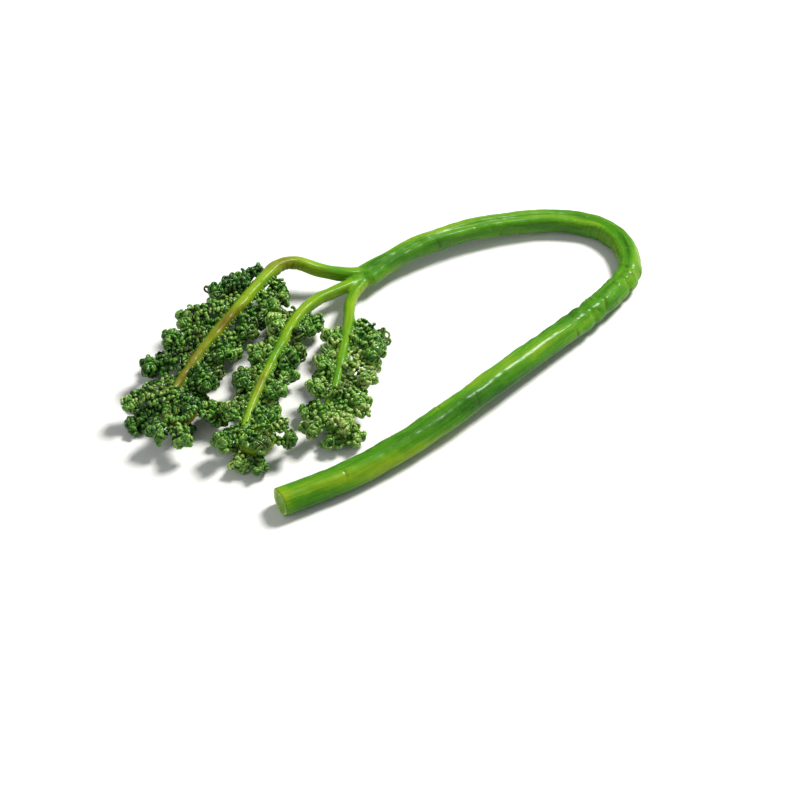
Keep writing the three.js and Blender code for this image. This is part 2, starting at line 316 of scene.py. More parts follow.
# How far from a leaflet's line its lobes are rooted, and the lobes on a limb's own rib
LOBE_ROOT = 0.24
RIB_LOBE_ROOT = 0.75
RIB_LOBE_WIDTH = 2.3
RIB_LOBE_RISE = (-2, 6)
RIB_LOBE_FALL = (-2, 5)
BLADE_TURN = 9.0

# The fork's skin: how fine it is, how far it is melted, and how near the stems are where it starts to be
FORK_REACH = 26.0
FORK_VOXEL = 0.22
FORK_MELTING = 60
MELTING = (0.5, 2.2)
SKIN_MIXING = 0.6
ROOT_NARROWING = 0.12
ROOT_REACH = 5.0

# Where two pieces of skin overlap over this length, each dips under the other
OVERLAP = 1.6
DIP = 0.035

# Where a tube's sides and its two ends lie on its part of the map for bakes
MAP_SIDES = ((0.04, 0.96), (0.03, 0.88))
MAP_END_MIDDLES = (0.25, 0.75)
MAP_END_HEIGHT = 0.95
MAP_END_RADII = (0.04, 0.03)

# Linear colours by tone
BROWN = (0.075, 0.038, 0.005)
SKIN_COLOURS = [
    (0.0, (0.012, 0.085, 0.003)),
    (0.3, (0.064, 0.230, 0.006)),
    (0.55, (0.210, 0.345, 0.008)),
    (0.78, (0.150, 0.150, 0.006)),
    (1.0, BROWN),
]
# The cut face's colours by share of its radius: green pith, paler towards the rim as a painted highlight
PITH_COLOURS = [
    (0.0, (0.210, 0.370, 0.070)),
    (0.7, (0.190, 0.380, 0.050)),
    (0.93, (0.420, 0.560, 0.160)),
    (1.0, (0.550, 0.660, 0.240)),
]
LEAF_COLOURS = [
    (0.0, (0.002, 0.006, 0.002)),
    (0.25, (0.010, 0.046, 0.004)),
    (0.5, (0.047, 0.172, 0.014)),
    (0.75, (0.158, 0.340, 0.044)),
    (1.0, (0.420, 0.520, 0.160)),
]
STRAND_COLOUR = (0.16, 0.24, 0.05)
OLD_LEAF_COLOUR = (0.055, 0.043, 0.010)

# Patterns as noises: scale, detail and strength, and for spots also the level over which they show
SKIN_STREAKS = (6.0, 4.0, 0.42)
SKIN_PATCHES = (1.3, 4.0, 0.4)
SKIN_FLECKS = (14.0, 2.0, 2.5, 0.62)
PATCH_SQUEEZE = (1.0, 1.0, 6.0)
PITH_MOTTLE = (1400.0, 3.0, 0.5)
LEAF_MOTTLE = (300.0, 3.0, 0.5)
LEAF_OLD_SPOTS = (95.0, 2.0, 5.0, 0.52)
CRUMB_SCALE = 1500.0

# How strongly folds and spots change the colour, and the strengths of the painted highlight on crests, the
# painted light towards lobe tips and the painted shade between crumbs
HURT_STRENGTH = 0.55
OLD_STRENGTH = 0.6
PAINTED_CREST_HIGHLIGHT = 0.3
TIP_PAINTED_LIGHT = 0.13
CRUMB_PAINTED_SHADE = 0.4

# Fine relief as noises: scale and detail, and how rough the skin's noise is
SKIN_RELIEF = (22.0, 5.0, 0.6)
PITH_RELIEF = (2500.0, 3.0)
LEAF_RELIEF = (3200.0, 3.0)
LEAF_RELIEF_STRENGTH = 0.5

# For each surface the depth of its relief in metres, its roughness as a noise with a scale, detail,
# strength and least value, and how wet it is
FINISHES = {
    "wet_skin": (0.00018, (9.0, 3.0, 0.3, 0.2), {"Coat Weight": 0.22, "Coat Roughness": 0.22}),
    "pith": (0.0002, (900.0, 2.0, 0.3, 0.35), {"Coat Weight": 0.1, "Coat Roughness": 0.3}),
    "leaf": (0.00022, (700.0, 2.0, 0.35, 0.25), {"Coat Weight": 0.6, "Coat Roughness": 0.2}),
}

# What they share: a dull surface under the wet coat, and light that goes into the flesh
FLESH = {
    "Specular IOR Level": 0.06,
    "Subsurface Weight": 0.12,
    "Subsurface Radius": (0.5, 1.0, 0.2),
    "Subsurface Scale": 0.0012,
}

# The camera looks down on the table as the photograph does, from well back
CAMERA_ELEVATION = 46.0
CAMERA_DISTANCE = 0.8
CAMERA_LENS = 120.0

# The studio
FLOOR_SIZE = 6
FLOOR_PAINT = {"Base Color": (0.78, 0.78, 0.77, 1), "Roughness": 0.6}
ROOM_LIGHT = {"Color": (1, 1, 1, 1), "Strength": 0.28}
LAMPS = {
    "key": {"place": (0.48, 0.36, 0.80), "size": 0.32, "energy": 16.0, "color": (1.0, 0.98, 0.94)},
    "fill": {"place": (-0.55, -0.50, 0.60), "size": 0.8, "energy": 2.0, "color": (0.95, 0.98, 1.0)},
}


def mix(start, end, share):
    return start + (end - start) * share


def unit(vectors):
    return vectors / np.linalg.norm(vectors, axis=-1, keepdims=True)


def bump(distance, reach):
    """1 at the centre and falling to 0 over the reach to either side."""
    return ramp(1 - np.abs(distance) / reach, 0, 1)


def ramp(value, start, end):
    """0 up to start, 1 from end on, and a smooth rise between them."""
    share = np.clip((value - start) / (end - start), 0, 1)
    return share * share * (3 - 2 * share)


def turned(angle):
    """The same angle, from minus half a turn to half a turn."""
    return (angle + math.pi) % TURN - math.pi


def seeded_random(seed):
    """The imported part's own draws, so that each leaflet grows where its solid is."""
    whole = 0xFFFFFFFF
    state = seed

    def draw():
        nonlocal state
        state = (state + 0x6D2B79F5) & whole
        mixed = ((state ^ (state >> 15)) * (state | 1)) & whole
        mixed ^= (mixed + (((mixed ^ (mixed >> 7)) * (mixed | 61)) & whole)) & whole
        return (mixed ^ (mixed >> 14)) / (whole + 1)

    return draw


def lengths_along(points):
    return np.concatenate([[0], np.cumsum(np.linalg.norm(np.diff(points, axis=0), axis=1))])


def even_points(route, step, fineness=1):
    """Even points on a smooth curve through the route, about a step apart or this many times as near."""
    places = np.array(route)
    padded = np.vstack([2 * places[0] - places[1], places, 2 * places[-1] - places[-2]])
    spans = len(places) - 1

    def at(times):
        span = np.clip(np.floor(times * spans).astype(int), 0, spans - 1)
        t = (times * spans - span)[:, None]
        before, start, end, after = (padded[span + k] for k in range(4))
        leave = 0.5 * (end - before)
        arrive = 0.5 * (after - start)
        square = 3 * (end - start) - 2 * leave - arrive
        cube = 2 * (start - end) + leave + arrive
        return start + leave * t + square * t**2 + cube * t**3

    times = np.linspace(0, 1, CURVE_SAMPLES)
    lengths = lengths_along(at(times))
    count = round(round(lengths[-1] / step) * fineness)
    return at(np.interp(np.linspace(0, 1, count + 1) * lengths[-1], lengths, times))


def rolled_up(centre, ahead, inward, radius, core, pitch, step):
    """The points of a flat spiral from this radius to its core, and the ways outwards there."""
    points, aways = [], []
    turn = 0.0
    reach = radius
    while reach > core:
        turn += step / reach
        reach = radius - pitch * turn / TURN
        aways.append(ahead * math.sin(turn) - inward * math.cos(turn))
        points.append(centre + aways[-1] * reach)
    return points, aways


def carried_frames(points):
    """At each point the way on, the way up and the way to the side, carried along without twist."""
    ahead = unit(np.gradient(points, axis=0))
    ups = np.empty_like(points)
    up = UP
    for i, way in enumerate(ahead):
        up = unit(up - way * (up @ way))
        ups[i] = up
    return ahead, ups, np.cross(ahead, ups)


def ripples(angle, along, seed, waves, longest, most_turns):
    """Smooth unevenness round and along a stem, mostly between -1 and 1, without a seam."""
    draws = np.random.default_rng(seed)
    total = 0
    for _ in range(waves):
        turns = draws.integers(0, most_turns + 1)
        length = longest * draws.uniform(SHORTEST_WAVE, 1)
        phase = draws.uniform(0, TURN)
        total = total + np.sin(turns * angle + TURN * along / length + phase)
    return total / math.sqrt(waves)


def angles_round(sides):
    return np.linspace(0, TURN, sides, endpoint=False)[None]


def ring_points(points, sides, ups, across, above):
    """Rings of corners round a line's points, from how far each corner lies to the side and above."""
    aside = across[..., None] * sides[..., None, :]
    return points[..., None, :] + aside + above[..., None] * ups[..., None, :]


def stalk_sizes(distance, length, angle):
    """The stalk's half width and half height by distance from its cut end and angle round it."""
    kink = np.max([bump(distance - place * length, KINK_REACH) for place in KINKS], axis=0)
    crease = (0.5 + 0.5 * np.cos(TURN * distance / CREASE_PITCH)) ** CREASE_SHARPNESS
    radius = np.interp(distance / length, (0, 0.5, 1), (CUT_END_RADIUS, MIDDLE_RADIUS, NECK_RADIUS))
    left = length - distance
    fork = bump(left, FORK_LENGTH)
    closing = np.sqrt(np.clip((left + FORK_BLUNTNESS) / FORK_CLOSING, 0, 1))
    flute = 1 + FLUTE_DEPTH * np.cos(FLUTES * angle + FLUTE_TURN)
    groove = 1 - GROOVE_DEPTH * bump(angle - GROOVE_PLACE, GROOVE_HALF_ANGLE)
    shape = flute * groove * closing * (radius * (1 - CREASE_DEPTH * kink * crease))
    width = shape * (1 + KINK_FLATTENING * kink) * (1 + FORK_WIDENING * fork)
    height = shape * (1 - KINK_FLATTENING * kink) * (1 - FORK_FLATTENING * fork)
    return width, height


def plan_origin():
    """The plan's own origin in the row frame, found from the outermost points of the stalk's bend."""
    points = even_points(STALK_ROUTE, STALK_STEP)
    _, ups, sides = carried_frames(points)
    distance = np.arange(len(points))[:, None] * STALK_STEP
    angle = angles_round(PACKED_SIDES)
    width, height = stalk_sizes(distance, distance[-1, 0], angle)
    packed = ring_points(points, sides, ups, width * np.cos(angle), height * np.sin(angle))
    outermost = packed.reshape(-1, 3).max(axis=0) * MM
    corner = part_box("stalk")[1]
    return np.array([corner.x - outermost[0], corner.y - outermost[1], 0.0])


def puckers(ahead, ups, sides, step, distance, angle):
    """Where the skin is folded across on the inner side of a bend, from 0 to 1."""
    turning = np.gradient(ahead, step, axis=0)
    bend = np.linalg.norm(turning, axis=1)
    window = round(BEND_WINDOW / step) | 1
    smooth = np.convolve(np.pad(bend, window // 2, mode="edge"), np.ones(window) / window, "valid")
    inner = np.arctan2((turning * ups).sum(1), (turning * sides).sum(1))
    away = turned(angle - inner[:, None])
    wander = PUCKER_WANDER * ripples(angle, distance, *PUCKER_WAVES)
    fold = 0.5 + 0.5 * np.cos(TURN * (distance + wander) / PUCKER_PITCH)
    return np.interp(smooth, PUCKER_BENDS, (0, 1))[:, None] * bump(away, PUCKER_HALF_ANGLE) * fold**2


def fold_marks(distance, angle, length, draws):
    """Short folds across the skin, from 0 to 1, and the lips that are raised on one side of them."""
    folds = np.zeros_like(distance + angle)
    lips = np.zeros_like(folds)
    for i in range(FOLDS):
        anywhere = length * draws.uniform(*FOLD_PLACES)
        near_kink = length * draws.choice(KINKS) + draws.normal(0, FOLD_SPREAD)
        place = near_kink if i % 2 else anywhere
        away = turned(angle - draws.uniform(0, TURN))
        half_angle = draws.uniform(*FOLD_HALF_ANGLES)
        slant = draws.uniform(-FOLD_SLANT, FOLD_SLANT)
        waver = FOLD_WAVER * np.sin(FOLD_WAVES * away + place)
        line = (distance - place - slant * away - waver) * draws.choice((-1, 1))
        size = bump(away, half_angle) * draws.uniform(*FOLD_STRENGTHS)
        folds = np.maximum(folds, size * np.exp(-((line / FOLD_HALF_WIDTH) ** 2)))
        lip = size * np.exp(-line / FOLD_LIP_LENGTH)
        lips = np.maximum(lips, lip * ramp(line, 0, 2 * FOLD_HALF_WIDTH))
    return folds, lips


def spots(distance, angle, length, draws, count, reach, sizes):
    """Round spots scattered over the skin near the kinks, from 0 to 1."""
    marks = np.zeros_like(distance + angle)
    for _ in range(count):
        place = length * draws.choice(KINKS) + draws.normal(0, reach)
        away = turned(angle - draws.uniform(0, TURN)) * MIDDLE_RADIUS
        size = draws.uniform(*sizes)
        spread = ((distance - place) ** 2 + (away * SPOT_SQUEEZE) ** 2) / size**2
        marks = np.maximum(marks, size / sizes[1] * np.exp(-spread))
    return marks


def strand_marks(shares, angle):
    """The strands that show as dots in a ring on the cut face, from 0 to 1."""
    marks = np.zeros_like(shares + angle)
    draws = np.random.default_rng(STRAND_SEED)
    for i in range(STRANDS):
        place = STRAND_PLACE * draws.uniform(*STRAND_SPREAD)
        middle = TURN * (i + draws.uniform(-STRAND_SWAY, STRAND_SWAY)) / STRANDS
        x = shares * np.cos(angle) - place * math.cos(middle)
        y = shares * np.sin(angle) - place * math.sin(middle)
        reach = STRAND_REACH * draws.uniform(*STRAND_SPREAD)
        marks = np.maximum(marks, bump(np.hypot(x, y), reach))
    return marks


def new_stem(**stem):
    """A stem: rings of points, their centres, ways and distance along it, and the looks of its skin."""
    stem["grain"] = grain_at(stem, np.arange(len(stem["points"]))[:, None], stem["points"])
    return stem


def grain_at(stem, ring, points):
    """A place for the skin's patterns: across the stem, and stretched along it."""
    away = points - stem["centres"][ring]
    across = (away * stem["sides"][ring]).sum(-1) / MIDDLE_RADIUS
    above = (away * stem["ups"][ring]).sum(-1) / MIDDLE_RADIUS
    along = (stem["along"][ring] + (away * stem["ahead"][ring]).sum(-1)) / GRAIN_LENGTH
    return np.stack([across, above, along], axis=-1)


def part_of(stem, rings):
    return {name: values[rings] for name, values in stem.items()}


def stalk_skin(distance, angle, length, creases):
    """How far the stalk's skin stands out, and how much its folds hurt it, from 0 to 1."""
    draws = np.random.default_rng(MARK_SEED)
    folds, lips = fold_marks(distance, angle, length, draws)
    dents = spots(distance, angle, length, draws, **DENTS)
    blisters = spots(distance, angle, length, draws, **BLISTERS)
    sway = RIDGE_SWAY * np.sin(distance / RIDGE_SWAY_LENGTH)
    fading = np.sin(distance / RIDGE_FADING_LENGTH + 2 * angle)
    relief = (
        RIDGE_HEIGHT * np.cos(RIDGES * angle + sway) * (1 - RIDGE_FADING + RIDGE_FADING * fading)
        + LUMP_HEIGHT * ripples(angle, distance, *LUMP_WAVES)
        + DIMPLE_HEIGHT * ripples(angle, distance, *DIMPLE_WAVES)
        + BLISTER_HEIGHT * blisters
        - DENT_DEPTH * dents
        - PUCKER_DEPTH * creases
        - FOLD_DEPTH * folds
        + FOLD_LIP * lips
        - RIM_ROUNDING * np.clip(1 - distance / RIM_LENGTH, 0, 1) ** 2
    )
    return relief * ramp(length - distance, 0, SMOOTH_END), np.clip(folds + CREASE_HURT * creases, 0, 1)


def stalk_tube():
    """The stalk from the middle of its cut face, over the rim and along to its closed end."""
    length = (len(even_points(STALK_ROUTE, STALK_STEP)) - 1) * STALK_STEP
    points = even_points(STALK_ROUTE, STALK_STEP, STALK_STEP / STALK_FINE_STEP)
    ahead, ups, sides = carried_frames(points)
    distance = np.linspace(0, length, len(points))[:, None]
    angle = angles_round(STALK_SIDES)
    creases = puckers(ahead, ups, sides, STALK_FINE_STEP, distance, angle)
    relief, hurt = stalk_skin(distance, angle, length, creases)
    width, height = stalk_sizes(distance, length, angle)
    across = (width + relief) * np.cos(angle)
    rings = ring_points(points, sides, ups, across, (height + relief) * np.sin(angle))

    shares = np.linspace(*FACE_SHARES, FACE_RINGS)[:, None]
    strands = strand_marks(shares, angle)
    grain = PITH_GRAIN * ripples(angle, shares, *FACE_WAVES) * ramp(shares, *PITH_CALM)
    hollow = PITH_DISH * (1 - shares**2) - STRAND_HEIGHT * strands + grain
    face = points[0] + (rings[0] - points[0]) * shares[..., None] + ahead[0] * hollow[..., None]
    steps = np.linspace(*NOSE_SHARES, NOSE_RINGS)[:, None, None]
    nose = points[-1] + (rings[-1] - points[-1]) * np.sqrt(1 - steps**2) + ahead[-1] * NOSE * steps

    tone = STALK_TONE + STALK_TONE_SPREAD * ripples(angle, distance, *STALK_TONE_WAVES)
    tone += CUT_END_TONE * bump(distance, CUT_END_REACH)
    tone += FORK_TONE * ramp(distance / length, FORK_TONE_FROM, 1)

    # The face's and the nose's rings go with the first and the last ring of the side
    ring = np.clip(np.arange(-FACE_RINGS, len(points) + NOSE_RINGS), 0, len(points) - 1)
    tone, hurt = tone[ring], hurt[ring]
    # On the face the tone is the share of the radius, so that the rim gets the pith's painted highlight
    tone[:FACE_RINGS] = shares
    hurt[:FACE_RINGS] = strands
    hurt[-NOSE_RINGS:] = 0
    return new_stem(
        points=np.vstack([face, rings, nose]),
        centres=points[ring],
        ahead=ahead[ring],
        ups=ups[ring],
        sides=sides[ring],
        along=distance[ring, 0],
        tone=tone,
        hurt=hurt,
    )


def limb_line(plan, fineness=1):
    """A limb's midline to the end of its rolled tip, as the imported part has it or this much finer."""
    tip = plan["tip"]
    before, end = even_points(plan["route"], LIMB_STEP)[-2:]
    ahead = unit(end - before)
    inward = unit(np.cross(UP, ahead)) + UP * tip["lift"]
    inward = unit(inward - ahead * (inward @ ahead))
    centre = end + inward * tip["radius"]
    step = LIMB_STEP / SPIRAL_FINENESS / fineness
    roll, _ = rolled_up(centre, ahead, inward, tip["radius"], tip["core"], tip["pitch"], step)
    return np.vstack([even_points(plan["route"], LIMB_STEP, fineness), roll])


def limb_tube(plan, leaflets, start):
    """A limb's rib from the fork, this far along the frond, to the end of its rolled tip."""
    points = limb_line(plan, RIB_FINENESS)
    ahead, ups, sides = carried_frames(points)
    step = np.arange(len(points)) / RIB_FINENESS
    distance = step[:, None] * LIMB_STEP
    angle = angles_round(RIB_SIDES)
    radius = mix(*plan["radii"], np.clip(step / (len(limb_line(plan)) - 1), 0, 1))[:, None]
    flutes = RIB_FLUTE_DEPTH * np.cos(RIB_FLUTES * angle + distance / RIB_TWIST)
    groove = RIB_GROOVE_DEPTH * bump(angle - math.pi / 2, RIB_GROOVE_HALF_ANGLE)
    lumps = RIB_LUMPS * ripples(angle, distance, plan["seed"], *RIB_LUMP_WAVES)
    nodes = sum(bump(distance - leaflet["place"], NODE_REACH) for leaflet in leaflets)
    folds = puckers(ahead, ups, sides, LIMB_STEP / RIB_FINENESS, distance, angle)
    size = radius * (1 + flutes - groove + lumps + NODE_SWELLING * np.minimum(nodes, 1))
    size = size - RIB_PUCKERS * radius * folds
    size = size * np.sqrt(np.clip((step[-1] - step) / RIB_CLOSING + RIB_BLUNTNESS, 0, 1))[:, None]

    share = distance / distance[-1, 0]
    own_tone = mix(*plan["tones"], ramp(share, *RIB_TONE_TURN))
    tone = mix(RIB_ROOT_TONE, own_tone, ramp(share, 0, RIB_ROOT_END))
    return new_stem(
        points=ring_points(points, sides, ups, size * np.cos(angle), size * np.sin(angle)),
        centres=points,
        ahead=ahead,
        ups=ups,
        sides=sides,
        along=start + distance[:, 0],
        tone=tone + RIB_TONE_SPREAD * ripples(angle, distance, plan["seed"] + 1, *RIB_TONE_WAVES),
        hurt=RIB_CREASE_HURT * folds,
    )


def limb_leaflets(plan):
    """Each leaflet's line, how far it is bare, and where it grows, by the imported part's rules."""
    random = seeded_random(plan["seed"])
    points = limb_line(plan)
    ahead, _, sides = carried_frames(points)
    length = (len(points) - 1) * LIMB_STEP
    uncurled = len(even_points(plan["route"], LIMB_STEP)) * LIMB_STEP
    leaflets = []
    distance = plan["bare"]
    while distance < length - BARE_TIP:
        grown = (distance - plan["bare"]) / (length - plan["bare"])
        curled = distance > uncurled
        for side in ["right"] if curled else ["left", "right"]:
            sign = -1 if side == "left" else 1
            place = min(distance + PLACE_JITTER * (random() - 0.5), length - LAST_PLACE)
            i = math.floor(place / LIMB_STEP + 0.5)
            reach = mix(*plan["reach"][side], grown) * mix(*REACH_SPREAD, random())
            if curled:
                reach *= CURLED_REACH
            roll_radius = ROLL_RADIUS * mix(1, ROLL_SHRINK, grown) * mix(*ROLL_SPREAD, random())
            lean = mix(*LEAN_SPREAD, random())
            # Pairs of leaflets end low and high by turns
            end_height = plan["height"][len(leaflets) % 4 // 2] + HEIGHT_SPREAD * random()
            tilt = mix(*TILT_SPREAD, random())
            out = sides[i] * sign + ahead[i] * lean
            out[2] = 0
            out = unit(out)
            out[2] = np.clip((end_height - points[i][2]) / (reach + roll_radius), *STEEPEST)
            out = unit(out)
            flat = unit(np.cross(out, UP)) * sign
            curl = unit(UP - out * out[2]) * math.cos(tilt) - flat * math.sin(tilt)
            bare = mix(*plan["radii"], grown)
            root = points[i] + out * ROOT_DEPTH * bare
            line = leaflet_line(root, out, curl, reach, roll_radius, mix(*plan["blade"], grown))
            tone = plan["leaf_tone"] + LEAFLET_SHADE * math.sin(SHADE_TURN * place)
            leaflet = {"line": line, "side": side, "place": place, "bare": bare}
            leaflets.append({**leaflet, "tone": tone, "off": LOBE_ROOT})
        distance += mix(*plan["spacing"], grown)
    return leaflets


def leaflet_line(root, out, curl, reach, roll_radius, half_width):
    """A dense line along a leaflet: its distances, points, the way outwards from its roll, and widths."""
    share = np.linspace(0, 1, ARCH_POINTS)[:, None]
    arch = root + out * reach * share + curl * (ARCH * reach * np.sin(math.pi * share))
    centre = root + out * reach + curl * roll_radius
    roll, aways = rolled_up(centre, out, curl, roll_radius, ROLL_CORE, ROLL_PITCH, ROLL_STEP)
    points = np.vstack([arch, roll])
    lengths = lengths_along(points)
    swell = np.sin(math.pi * mix(*SWELL, lengths / lengths[-1]))
    return lengths, points, np.vstack([[-curl] * ARCH_POINTS, aways]), half_width * swell


def rib_line(plan, rib):
    """The same for the leafy stretch of a limb's own rib, with the rolled tip that ends it."""
    route_end = (len(even_points(plan["route"], LIMB_STEP)) - 1) * RIB_FINENESS
    first = round(plan["bare"] / LIMB_STEP) * RIB_FINENESS
    points = rib["centres"]
    inward = np.cross(UP, rib["ahead"]) + UP * plan["tip"]["lift"]
    since = (np.arange(len(points)) - route_end)[:, None] * LIMB_STEP / RIB_FINENESS
    away = unit(mix(rib["ups"], -unit(inward), ramp(since, -BLADE_TURN, 0)))
    lengths = lengths_along(points[first:])
    widths = RIB_LOBE_WIDTH * ramp(lengths, *RIB_LOBE_RISE) * ramp(lengths[-1] - lengths, *RIB_LOBE_FALL)
    return lengths, points[first:], away[first:], widths


def along_line(line, distances):
    """Points, ways on, outwards and to the side, and widths at these distances along a line."""
    lengths, points, aways, widths = line

    def at(values):
        return np.stack([np.interp(distances, lengths, column) for column in values.T], axis=-1)

    ahead = unit(at(unit(np.gradient(points, axis=0))))
    away = at(aways)
    away = unit(away - ahead * (away * ahead).sum(-1, keepdims=True))
    return at(points), ahead, away, np.cross(ahead, away), at(widths[:, None])


def midrib_tubes(leaflets, tone):
    """The leaflets' midribs, thickest at the root and closed at both ends."""
    angle = angles_round(MIDRIB_SIDES)
    shares = np.linspace(0, 1, MIDRIB_RINGS)
    closing = np.sqrt(MIDRIB_END[0] - shares ** MIDRIB_END[1])
    size = (RIB_HALF_THICKNESS * mix(1, TIP_THICKNESS, shares) * closing)[:, None]
    tubes = []
    for leaflet in leaflets:
        points, _, away, side, _ = along_line(leaflet["line"], shares * leaflet["line"][0][-1])
        tubes.append(ring_points(points, side, away, size * np.cos(angle), size * np.sin(angle)))
    # The midribs get a strong painted crest highlight and a middling painted tip light
    return tubes_of(np.array(tubes), tone=tone + MIDRIB_SHADE, crest=MIDRIB_PAINTED_CREST_LIGHT, tip=LEAFLET_PAINTED_TIP_LIGHT)


def blade_tubes(leaflets, tone):
    """The leaflets' blades, cupped towards their roll and closed at both ends."""
    angle = angles_round(BLADE_SIDES)
    shares = np.linspace(0, 1, BLADE_RINGS)
    closing = np.sqrt(BLADE_END[0] - np.abs(2 * shares - 1) ** BLADE_END[1])[:, None]
    tubes = []
    for i, leaflet in enumerate(leaflets):
        distances = mix(leaflet["bare"], leaflet["line"][0][-1], shares)
        points, _, away, side, width = along_line(leaflet["line"], distances)
        size = 1 + BLADE_UNEVENNESS * ripples(angle, distances[:, None], i, *BLADE_WAVES)
        wide = BLADE_WIDTH * width * closing * size * np.cos(angle)
        high = BLADE_HALF_THICKNESS * closing * size * np.sin(angle) - BLADE_SINK
        tubes.append(ring_points(points, side, away, wide, high - BLADE_CUP * wide**2 / width))
    # The blades get painted shade, as the gaps between the lobes, and a weaker painted crest highlight
    return tubes_of(np.array(tubes), tone=tone + BLADE_PAINTED_SHADE, crest=BLADE_PAINTED_CREST_LIGHT, tip=LEAFLET_PAINTED_TIP_LIGHT)


def lobe_roots(stalks):
    """For each lobe its root, the ways on, outwards and to its side, its lean inwards, length and tone."""
    gathered = []
    for stalk in stalks:
        for row, (sign, inwards, part, pitch) in enumerate(LOBE_ROWS):
            first = stalk["bare"] + pitch * ROW_STAGGER * (row + 1)
            distances = np.arange(first, stalk["line"][0][-1] - LAST_LOBE, pitch)
            points, way, away, side, width = along_line(stalk["line"], distances)
            side = side * sign
            roots = points + (side * math.cos(inwards) - away * math.sin(inwards)) * stalk["off"]
            same = np.ones_like(width)
            gathered.append((roots, way, away, side, same * inwards, width * part, same * stalk["tone"]))
    return [np.concatenate(values)[:, None] for values in zip(*gathered, strict=True)]


def lobe_tubes(stalks, seed):
    """Lobes along leaflets or a rib: strings of beads that curl in towards the roll."""
    base, way, away, side, lean_in, size, tone = lobe_roots(stalks)
    draws = np.random.default_rng(seed)

    def spread(low, high):
        return mix(low, high, draws.random(size.shape))

    length = size * LOBE_LENGTH * spread(*LOBE_LENGTH_SPREAD)
    lean = spread(*LOBE_LEAN)
    tilt = spread(*LOBE_TILT)
    curl = spread(*LOBE_CURL)
    twist = spread(-LOBE_TWIST, LOBE_TWIST)
    wobble = spread(-LOBE_WOBBLE, LOBE_WOBBLE) * length
    plump = spread(*LOBE_SIZE_SPREAD)
    shade = spread(-LOBE_SHADE, LOBE_SHADE)

    # The lobe's midline, turning away from the way it starts
    u, profile = np.array(LOBE_PROFILE).T[..., None]
    phi = lean_in + tilt + curl * u**LOBE_CURL_POWER
    out = side * np.cos(lean) + way * np.sin(lean)
    ahead = out * np.cos(phi) - away * np.sin(phi)
    above = away * np.cos(phi) + out * np.sin(phi)
    across = np.cross(ahead, above)
    steps = 0.5 * (ahead[:, 1:] + ahead[:, :-1]) * (length * np.diff(u, axis=0))
    centre = np.concatenate([np.zeros_like(base), np.cumsum(steps, axis=1)], axis=1)
    centre = centre + base + above * (wobble * np.sin(TURN * u))

    roll = twist * u
    rolled_across = across * np.cos(roll) + above * np.sin(roll)
    rolled_above = above * np.cos(roll) - across * np.sin(roll)
    angle = angles_round(LOBE_SIDES)
    width = LOBE_HALF_WIDTH * plump * profile
    thickness = LOBE_HALF_THICKNESS * plump * profile
    high = thickness * np.sin(angle) - LOBE_CUP * width * np.cos(angle) ** 2
    points = ring_points(centre, rolled_across, rolled_above, width * np.cos(angle), high)
    # Each bead's thickness is also its painted crest highlight, and its place along the lobe the painted
    # light towards its tip
    return tubes_of(points, tone=tone + shade, crest=profile, tip=u)


def tubes_of(points, material=0, **fields):
    """Like tubes, by tube, ring and side, with the values that vary over them."""
    shape = points.shape[:3]
    spread = {name: np.broadcast_to(value, shape + np.shape(value)[3:]) for name, value in fields.items()}
    return {"points": points, "material": material, "fields": spread}


def tube_of(stem, material=0):
    """One tube from a stem."""
    looks = {name: stem[name][None] for name in ("tone", "hurt", "grain")}
    return tubes_of(stem["points"][None], material, **looks)


def tube_faces(rings, sides):
    """A tube's faces, the ring of each, and the place of each of their corners on the unit square."""
    ring, side = np.meshgrid(np.arange(rings - 1), np.arange(sides), indexing="ij")
    after = (side + 1) % sides
    low, high = ring * sides, (ring + 1) * sides
    quads = np.stack([low + side, high + side, high + after, low + after], axis=-1).reshape(-1, 4)
    ends = np.arange(sides)
    faces = [*quads.tolist(), ends.tolist(), ((rings - 1) * sides + ends[::-1]).tolist()]
    u = np.stack([side, side, side + 1, side + 1], axis=-1) / sides
    v = np.stack([ring, ring + 1, ring + 1, ring], axis=-1) / (rings - 1)
    around = TURN * np.append(ends, ends[::-1]) / sides
    end_u = np.repeat(MAP_END_MIDDLES, sides) + MAP_END_RADII[0] * np.cos(around)
    end_v = MAP_END_HEIGHT + MAP_END_RADII[1] * np.sin(around)
    map_u = np.append(mix(*MAP_SIDES[0], u), end_u)
    map_v = np.append(mix(*MAP_SIDES[1], v), end_v)
    return faces, np.append(ring, [0, rings - 2]), np.stack([map_u, map_v], axis=-1)


def tube_mesh(batches):
    """A mesh of all the tubes in plan millimetres, each tube on its own part of the map for bakes."""
    points_in_all = sum(batch["points"][..., 0].size for batch in batches)
    faces, places, slots = [], [], []
    first = 0
    low = 0.0
    for batch in batches:
        count, rings, sides = batch["points"].shape[:3]
        own_faces, face_ring, own_places = tube_faces(rings, sides)
        slots.append(np.tile(np.broadcast_to(batch["material"], rings)[face_ring], count))
        high = low + count * rings * sides / points_in_all
        columns = math.ceil(math.sqrt(count / (high - low)))
        cell_size = np.array([1 / columns, (high - low) / math.ceil(count / columns)])
        for tube in range(count):
            faces += [[corner + first for corner in face] for face in own_faces]
            places.append((own_places + [tube % columns, tube // columns]) * cell_size + [0, low])
            first += rings * sides
        low = high
    mesh = bpy.data.meshes.new("tubes")
    mesh.from_pydata(np.vstack([batch["points"].reshape(-1, 3) for batch in batches]), [], faces)
    mesh.polygons.foreach_set("material_index", np.concatenate(slots))
    mesh.uv_layers.new(name="OFBake").uv.foreach_set("vector", np.vstack(places).ravel())
    for name in batches[0]["fields"]:
        set_field(mesh, name, np.concatenate([batch["fields"][name].ravel() for batch in batches]))
    return mesh


def set_field(mesh, name, values):
    """Gives a mesh's points the values that its material reads by this name."""
    kind, key = ("FLOAT_VECTOR", "vector") if name == "grain" else ("FLOAT", "value")
    mesh.attributes.new(name, kind, "POINT").data.foreach_set(key, values.ravel())


def points_of(mesh):
    points = np.empty(len(mesh.vertices) * 3)
    mesh.vertices.foreach_get("co", points)
    return points.reshape(-1, 3)


